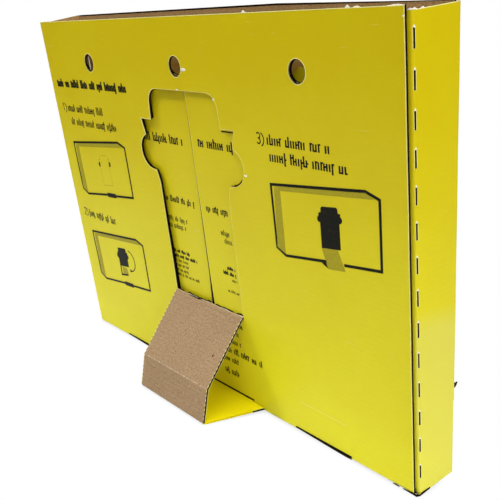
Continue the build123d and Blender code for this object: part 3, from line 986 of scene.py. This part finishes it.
def raggedPatch(at, x, z, wide, tall, seed, slot=0, rows=9, columns=5):
    # rows across an oval whose two sides are jagged
    random = np.random.default_rng(seed)
    height = np.linspace(-1, 1, rows)
    half = np.sqrt(1 - height**2 * 0.96) * wide / 2
    left, right = (half * (1 + 0.5 * (random.random(rows) - 0.5)) for _ in (0, 1))
    across = x - left[:, None] + (left + right)[:, None] * np.linspace(0, 1, columns)
    lift = wear["nickLift"] * (0.6 + 0.8 * random.random((rows, columns)))
    high = np.broadcast_to((z + height * tall / 2)[:, None], across.shape)
    return sheetShell(at, across, high, lift, -ink["lift"], (slot,) * 3)


def edgeTuft(at, start, end, foot, tall, seed, steps=14, outer=0.08, inner=-0.9):
    # torn fibres that stand on a cut edge: a low strip whose crest is a half sine with random teeth
    random = np.random.default_rng(seed)
    crest = tall * np.sin(np.linspace(0.15, pi - 0.15, steps)) * (0.35 + 0.65 * random.random(steps))
    v = foot + np.stack((np.full(steps, -0.15), crest * 0.5, crest), 0)
    wide = np.array((1.0, 0.8, 0.3))[:, None]
    across = np.broadcast_to(np.linspace(start, end, steps), v.shape)
    return sheetShell(at, across, v, outer * wide, inner * wide, (0, 0, 0))


def plainSkin(faces, slot=2):
    # a closed skin between two grids of places, in one material
    points, quads, kinds = shell(*faces)
    return points, quads, np.full(len(quads), slot), points * 1000


def edgeBeads():
    # pale tips of the flutes along both cut edges of the easel's first two sections
    shells, pitch = [], tray["flute"]
    for k in range(int((easelFoot - easelFold) / pitch)):
        v = easelFold + (k + wear["beadStart"]) * pitch
        top = v + wear["beadTall"]
        for side in (-easel["half"], easel["half"]):
            inner = side - np.sign(side) * wear["beadWide"]
            shells.append(inkPatch(easelAt, ((side, v), (inner, v), (inner, top), (side, top))))
    return shells


def wallTop():
    # the front wall's dark cut edge, seen over its kraft side
    reach, back = tray["halfWidth"] - wrap["foldFlat"], -tray["board"]
    ends = [runAt(wrapPath, 2, (x, -tray["depth"])) for x in (-reach, reach)]
    u, v = np.meshgrid(np.linspace(*ends, 60), tray["frontTop"] + np.array(wear["wallTop"]))
    return sheetShell(wrapTopAt, u, v, back + 0.02, back - 0.06, (2, 2, 2))


def overPanel(x, z, t):
    # past the panel's top edge its outer face goes straight on
    return place(x, t, z)


def behindPanel(x, z, t):
    # a place behind the back panel's outer face
    return place(x, t - wear["streakDepth"], z)


def cornerFlake():
    # a torn flake that stands out from the front wall's lower corner
    y = -tray["depth"] - tray["splay"] * wear["flakeZ"] / tray["height"]
    out, up = np.array(wear["flakeOut"])[None], np.array((-1.0, 0.0, 1.0))[:, None]
    z = wear["flakeZ"] + up * np.array(wear["flakeHalf"]) + np.array(wear["flakeRise"])
    return plainSkin([place(x - tray["halfWidth"], y + out, z) for x in (0.1, 0.6)])


# painted shade that shows as dark lines and strips, and a pale worn crease, in the upright tray's millimetres
shadeAndWear = dict(
    panelFoot=[(-185.8, 0.9), (-180, 1.1), (-172, 0.9)], panelFootWide=1.4,
    sideFoot=[(-4, 0.7), (3, 0.8), (9, 0.4)], sideFootWide=1.3, sideY=-2.0,  # along the wrap from its fold
    lockZ=(-1.2, 0.2, 1.4, 2.9), lockDepth=(-0.3, -0.4), footFaces=(0.3, 0.1), footLift=0.1, slotOver=0.15,
    seamIn=(-3.5, 2.8), seamFoot=4, seamTop=150, seamDepth=0.3,
    lobe=(-44.1, -0.2), lobeIn=0.3, lobeTurn=(-142, -96), ear=[(-38.2, 198.7), (-50.2, 198.8)], darkWide=0.8,
    crease=[(-92.2, 24.9), (-134.9, 24.7)], creaseWide=0.2,
    # painted shade over the easel's crest on each flap: its two ends, its foot, and how far aside the crest
    # is seen
    crests=((onNear, (-40.6, -5.3), 70.1, 1.4), (onFar, (1.3, 44.0), 68.7, 3.9)),
    crestRise=1.15, crestDip=3, crestWave=0.3, crestLine=0.5, crestIn=0.2,
    # painted shade past the opening's edge: its three columns, and how far in the first one lies by height
    shadow=(0.0, 2.0, 5.0), shadowZ=(72, 120, 170, 200, 215, 221), shadowIn=(0.6, 1.9, 2.6, 2.6, 2.3, 3.0),
    seamAway=2.6, seamWideZ=(60, 120, 265), seamWide=(1.4, 0.6, 0.3), holeWide=0.22, holeOut=0.08,
)


def footShade():
    # painted shade: dark lines along the foot of the nearest corner, and dark sheets in the lock slots
    corner = runAt(wrapPath, 1, (-tray["halfWidth"], shadeAndWear["sideY"]))
    sideFoot = [(corner + along, z) for along, z in shadeAndWear["sideFoot"]]
    shells = [inkLine(onPanel, shadeAndWear["panelFoot"], shadeAndWear["panelFootWide"], 2)]
    shells.append(inkLine(wrapAt, sideFoot, shadeAndWear["sideFootWide"], 2))
    for x in (-strap["lockX"], strap["lockX"]):
        across = np.linspace(x - strap["lockHalf"], x + strap["lockHalf"], 12)
        u, v = np.meshgrid(across, panelV(np.array(shadeAndWear["lockZ"])))
        shells.append(sheetShell(strapAt, u, v, *shadeAndWear["lockDepth"], (2, 2, 2)))
    return shells


def darkLines():
    # painted shade: a dark sheet behind the seam's open foot, and shadows in the near thumb hole and under
    # the near ear; and a pale crease on the panel
    def behindSeam(x, z, t):
        # a place just inside the far flap's outer face
        return place(x, tray["farFlap"] - shadeAndWear["seamDepth"] + t, z)

    across = np.linspace(*(tray["seamX"] + reach for reach in shadeAndWear["seamIn"]), 4)
    u, v = np.meshgrid(across, np.linspace(easel["fold"] - shadeAndWear["seamFoot"], shadeAndWear["seamTop"], 12))
    lobe = (shadeAndWear["lobe"][0], easel["thumbZ"] + shadeAndWear["lobe"][1])
    lobe = arc(lobe, easel["thumbRadius"] - shadeAndWear["lobeIn"], *shadeAndWear["lobeTurn"])
    return [
        sheetShell(behindSeam, u, v, 0.05, -0.05, (2, 2, 2)),
        inkLine(onNear, lobe, shadeAndWear["darkWide"], 2), inkLine(onNear, shadeAndWear["ear"], shadeAndWear["darkWide"], 2),
        inkLine(onPanel, shadeAndWear["crease"], shadeAndWear["creaseWide"]),
    ]


def crestShadow():
    # painted shade on each flap just over the easel's crest, where the gap behind the crest is dark, and a
    # line of torn paper along the crest itself
    shells = []
    for at, ends, foot, aside in shadeAndWear["crests"]:
        x = np.linspace(*ends, 50)
        top = foot + shadeAndWear["crestRise"] + crestRipple(x - aside) + shadeAndWear["crestWave"] * np.sin(x * 0.5)
        low = foot - shadeAndWear["crestDip"]
        shells.append(inkSkin(at, x, low + np.array((0, 0.5, 1))[:, None] * (top - low), 2))
    line = [(x, easelFold - shadeAndWear["crestIn"]) for x in (-easel["half"], easel["half"])]
    shells.append(inkLine(easelAt, line, shadeAndWear["crestLine"], 1, lift=wear["rimLift"]))
    return shells


# painted contact shade that stands just before the foot, as columns along the way: x, y, the way outward,
# low and high edge
footBack, footCorner, footSide = (0, 1), (-0.7, 0.7), (-1, 0)
footShadeColumns = [
    [(-170.5, 0, footBack, 0.1, 0.6), (-173, 0, footBack, 0, 1.0), (-175.5, 0, footBack, 0.1, 0.7)],
    [(-178.2, 0, footBack, 0.2, 0.7), (-182, 0, footBack, 0, 1.0), (-185.6, 0, footBack, 0, 1.4),
     (-188.2, 0.3, footCorner, 0, 2.0)],
    [(-188.2, 0.3, footCorner, 0, 2.0), (-189.2, -1.5, footSide, 0, 1.2), (-189.1, -6, footSide, 0, 1.1),
     (-189.0, -11, footSide, 0.1, 0.7)],
]
slotShadeColumns = [(1.0, 1.5), (0.6, 1.2), (0.2, 0.9), (-0.2, 0.5), (-0.6, 0.2), (-0.9, 0.1), (-1.06, 0.4)]


def footEdges():
    # painted shade in dark pieces along the foot of the nearest corner, and over the two lock slots
    top, half = strap["lockTop"] + shadeAndWear["slotOver"], strap["lockHalf"]
    slots = [[(middle + half * share, 0, footBack, low, top) for share, low in slotShadeColumns]
             for middle in (-strap["lockX"], strap["lockX"])]
    shells = []
    for columns in footShadeColumns + slots:
        x, y, outward, low, high = (np.array(value, float) for value in zip(*columns))
        z = np.stack((low, high)) + shadeAndWear["footLift"]
        outX, outY = outward.T
        shells.append(plainSkin([place(x + outX * out, y + outY * out, z) for out in shadeAndWear["footFaces"]]))
    return shells


def cutShadows():
    # painted shade on the far flap past the opening's edge, where the space between panel and flap is dark
    z = np.linspace(easel["fold"] - 3, easel["earZ"] - 0.3, 72)
    tipZ = np.linspace(easel["earZ"] + 0.3, openingTop - 1, 16)
    corner = easel["tipCorner"]
    tip = easel["tipHalf"] - 1 - grown(tipZ, openingTop - corner, corner) ** 2 * corner / 2
    shells = []
    for heights, side in ((z, openingSide(z)), (tipZ, tip)):
        first = side + np.interp(heights, shadeAndWear["shadowZ"], shadeAndWear["shadowIn"])
        shells.append(inkSkin(onFar, first[:, None] + np.array(shadeAndWear["shadow"]), heights[:, None], 2))
    return shells


def cutRims():
    # a fine pale rim round each cut of the cut-and-crease lines, with a torn tip at its top
    shells, tips, rim = [], [], wear["cutRim"]
    a, b, seed = (wrap["cutWidth"] + rim) / 2, wrap["cutHalf"] + rim / 2, wear["seeds"]["cut"]
    for sign, flap, across, run in wrapEnds:
        y = flap - wrap["cutSetback"] - wrap["cutWidth"] / 2
        middle = runAt(wrapPath, run, (sign * tray["halfWidth"], y))
        for k in range(wrap["cutCount"]):
            z = wrap["cutTop"] - k * wrap["cutPitch"]
            loop = [(middle + i * a, z + j * b) for i, j in ((-1, -1), (1, -1), (1, 1), (-1, 1), (-1, -1))]
            shells.append(inkLine(wrapAt, loop, rim, step=2, lift=wear["rimLift"]))
            tipZ = z + b + wear["tipUp"]
            tips.append(raggedPatch(wrapAt, middle, tipZ, wear["tipWide"], wear["tipTall"], seed + k))
    return shells, tips


def rimLine(at, points, width, slot=0, over=0.0):
    # a crushed rim along points
    return inkLine(at, points, width, slot, lift=wear["rimLift"] + over)


def openingEdge():
    # half of the opening's outline, towards +x, as its rim runs: side, ear and rounded tip
    z = np.linspace(easel["fold"], easel["earZ"], 70)
    turn, corner, tip = np.linspace(0, pi / 2, 7), easel["tipCorner"], easel["tipHalf"]
    crownX = tip - wear["crownIn"] - corner + corner * np.cos(turn)
    crown = (crownX, openingTop - corner + corner * np.sin(turn))
    ear = [(x, easel["earZ"] + wear["earOut"]) for x in (easel["earHalf"], tip + wear["earOut"])]
    side = np.stack((openingSide(z) + wear["rim"] / 2, z), -1)
    return np.concatenate((side, ear, np.stack(crown, -1) + wear["rim"] / 2))


def panelRims():
    # the printed liner's crushed pale edge round the holes, the opening, the seam and the free edges, with a
    # dark line at each hole's edge and a strip of painted shade on the far flap beside the seam
    rim, edge, radius = wear["rim"], openingEdge(), tray["holeRadius"]
    half, top = tray["panelHalf"] - rim / 2, tray["panelTop"] - rim / 2
    shells = []
    dark = (shadeAndWear["holeWide"], 2, shadeAndWear["holeOut"], wear["ringOver"])
    for wide, slot, reach, over in ((rim, 0, wear["ringOut"] + rim / 2, 0), dark):
        rings = [arc((x, tray["holeZ"]), radius + reach, 0, 360, 33) for x in allHoles]
        shells += [rimLine(onPanel, ring, wide, slot, over) for ring in rings]
    shells.append(rimLine(onPanel, edge, rim))
    shells.append(rimLine(onPanel, np.concatenate((edge * (-1, 1), edge[-1:])), rim * wear["thin"]))
    shells.append(rimLine(onPanel, [(half, top), (-half, top)], rim))
    shells.append(rimLine(onPanel, [(-half, top), (-half, 3)], rim * wear["side"]))
    seamZ = np.linspace(easel["fold"] - 2, tray["height"] - 0.5, 30)
    nearEnd = tray["seamX"] - np.interp(seamZ, tray["seamGapZ"], tray["seamGap"])
    shells.append(rimLine(onNear, np.stack((nearEnd - wear["seamIn"], seamZ), -1), rim * wear["faint"]))
    wide = np.interp(seamZ, shadeAndWear["seamWideZ"], shadeAndWear["seamWide"])[:, None] * np.array((-0.5, 0.5))
    shells.append(inkSkin(onFar, nearEnd[:, None] + shadeAndWear["seamAway"] + wide, seamZ[:, None], 2))
    for sign, flap, across, run in wrapEnds:
        reach = (wear["sideFrom"], wear["sideTo"] - tray["depth"])
        ends = [runAt(wrapPath, run, (sign * tray["halfWidth"], y)) for y in reach]
        shells.append(rimLine(wrapAt, [(u, tray["height"] - rim / 2) for u in ends], rim))
    return shells


disc = dict(drop=4.6, across=1.2, behind=-3.9, lean=9.0, play=0.1)


def discShells(x):
    # the disc cut from the near flap's hole, hanging just inside the flap
    turn = radians(disc["lean"])

    def discAt(u, v, t):
        # its place on the leaning disc
        high = tray["holeZ"] - disc["drop"] + v * cos(turn)
        return place(x + disc["across"] + u, disc["behind"] - v * sin(turn) + t, high)

    v, reach = arcSide(tray["holeRadius"] - disc["play"], 25)
    return boardShells(discAt, [band(v[0], v[-1], (v, -reach), (v, reach), 10)], [], [], 0, 1)


seeds = wear["seeds"]
sideEdge = [runAt(wrapPath, 1, (-tray["halfWidth"], y)) for y in wear["sideBreaks"]]
rimAndShadeShells, tornShells = cutRims()
tornShells += [raggedPatch(onPanel, *one, seeds["nick"] + k) for k, one in enumerate(wear["nicks"])]
tornShells += [edgeTuft(wrapAt, sideEdge[k], sideEdge[k + 1], tray["height"], tall, seeds["side"] + k)
               for k, tall in wear["sideTufts"]]
tornShells += [edgeTuft(overPanel, start, end, tray["panelTop"], tall, seeds["panel"] + k)
               for k, (start, end, tall) in enumerate(wear["panelTufts"])]
tornShells.append(raggedPatch(behindPanel, *wear["streak"], seeds["streak"]))
spotX, spotShare, spotWide, spotTall = wear["spot"]
spotV = easelFold + spotShare * (easelKnee - easelFold)
rimAndShadeShells += panelRims() + cutShadows()
rimAndShadeShells.append(raggedPatch(easelAt, spotX, spotV, spotWide, spotTall, seeds["spot"], 2))
rimAndShadeShells += edgeBeads() + [wallTop(), cornerFlake()] + footShade()
rimAndShadeShells += darkLines() + crestShadow() + footEdges()
makePiece("tornBits", tornShells, [tornPaper])
makePiece("crushedRimsAndShade", rimAndShadeShells, [crushedRim, tornPaper, darkCutAndShade])
makePiece("holeDisc", discShells(tray["nearHoles"][0]), sheetSlots)
print("wear done")

# floor, light and camera
stage = dict(
    floorHalf=3.0, floorNear=0.86, floorFar=0.25, fadeStart=0.25, fadeEnd=0.85,  # metres, and how pale
    shadowReach=0.005, shadowDepth=0.22, world=0.12,
)


def floorMaterial():
    # white for the camera, with a painted contact shadow close under something; for every other ray pale
    # near the tray alone
    material, shader, kit = newMaterial("floorWhite", 0.9, 0.0)
    away = kit.add("ShaderNodeVectorMath", {0: kit.object}, operation="LENGTH").outputs["Value"]
    pale = kit.ramp(away, stage["fadeStart"], stage["fadeEnd"], stage["floorNear"], stage["floorFar"])
    kit.shade("Base Color", kit.add("ShaderNodeCombineColor", {0: pale, 1: pale, 2: pale}).outputs[0])
    near = kit.add("ShaderNodeAmbientOcclusion", {"Distance": stage["shadowReach"]}, samples=8)
    tone = kit.ramp(near.outputs["AO"], 0.25, 0.75, 1 - stage["shadowDepth"], 1.0)
    shadow = kit.add("ShaderNodeCombineColor", {0: tone, 1: tone, 2: tone}).outputs[0]
    glow = kit.add("ShaderNodeEmission", {"Color": shadow, "Strength": 1.0})
    seen = kit.add("ShaderNodeLightPath").outputs["Is Camera Ray"]
    both = kit.add("ShaderNodeMixShader", {0: seen, 1: shader.outputs[0], 2: glow.outputs[0]})
    kit.put(material.node_tree.nodes["Material Output"].inputs["Surface"], both.outputs[0])
    return material


def makeFloor():
    # one square at the height of the tray's foot
    size = stage["floorHalf"]
    corners = [(-size, -size, 0), (size, -size, 0), (size, size, 0), (-size, size, 0)]
    mesh = bpy.data.meshes.new("floor")
    mesh.from_pydata(corners, [], [(0, 1, 2, 3)])
    mesh.materials.append(floorMaterial())
    floor = bpy.data.objects.new("floor", mesh)
    bpy.context.scene.collection.objects.link(floor)


def makeWorld():
    # white for the camera, soft and dim for every other ray
    world = bpy.data.worlds.new("studio")
    world.use_nodes = True
    bpy.context.scene.world = world
    nodes, links = world.node_tree.nodes, world.node_tree.links
    soft, white, seen, both = (nodes.new("ShaderNode" + kind) for kind in (
        "Background", "Background", "LightPath", "MixShader"))
    soft.inputs["Color"].default_value = white.inputs["Color"].default_value = (1, 1, 1, 1)
    soft.inputs["Strength"].default_value = stage["world"]
    links.new(seen.outputs["Is Camera Ray"], both.inputs[0])
    links.new(soft.outputs[0], both.inputs[1])
    links.new(white.outputs[0], both.inputs[2])
    links.new(both.outputs[0], nodes["World Output"].inputs["Surface"])


lamps = {
    "key": dict(at=(0.84, 0.72, 1.28), to=(0, 0, 0.13), size=0.24, power=12.5),
    "top": dict(at=(-0.4, 0.5, 1.5), to=(0, 0.2, 0), size=1.2, power=16),
    "rightSide": dict(at=(-1.5, 0.2, 0.8), to=(-0.1, 0, 0.12), size=1.1, power=15),
    "front": dict(at=(0.5, -1.6, 0.9), to=(0, 0, 0.12), size=1.2, power=14),
}


def makeLamps():
    # round area lamps, each turned so that its -Z looks at its point
    for name, one in lamps.items():
        light = bpy.data.lights.new(name, "AREA")
        light.shape, light.size, light.energy = "DISK", one["size"], one["power"]
        lamp = bpy.data.objects.new(name, light)
        lamp.location = one["at"]
        lamp.rotation_euler = (Vector(one["to"]) - lamp.location).to_track_quat("-Z", "Y").to_euler()
        bpy.context.scene.collection.objects.link(lamp)


lens = dict(
    at=(-411.0, 271.0, 289.0), forward=(0.73, -0.548, -0.408), up=(0.254, -0.336, 0.907),
    focal=53.17, sensor=36.0, shiftY=0.1,
)


def makeCamera():
    # the photo's viewpoint, found in the upright frame and laid back with the tray
    turn = np.array(((1, 0, 0), (0, leanCos, leanSin), (0, -leanSin, leanCos)))
    forward, up = turn @ np.array(lens["forward"]), turn @ np.array(lens["up"])
    forward /= np.linalg.norm(forward)
    right = np.cross(forward, up)
    right /= np.linalg.norm(right)
    up = np.cross(right, forward)
    data = bpy.data.cameras.new("photoCamera")
    data.lens, data.sensor_width, data.shift_y = lens["focal"], lens["sensor"], lens["shiftY"]
    data.clip_start, data.clip_end = 0.01, 20
    camera = bpy.data.objects.new("photoCamera", data)
    matrix = np.eye(4)
    matrix[:3, 0], matrix[:3, 1], matrix[:3, 2] = right, up, -forward
    matrix[:3, 3] = place(*lens["at"])
    camera.matrix_world = Matrix(matrix.tolist())
    bpy.context.scene.collection.objects.link(camera)
    bpy.context.scene.camera = camera


makeFloor()
makeWorld()
makeLamps()
makeCamera()
bpy.context.scene.view_settings.view_transform = "Standard"
print("stage done")
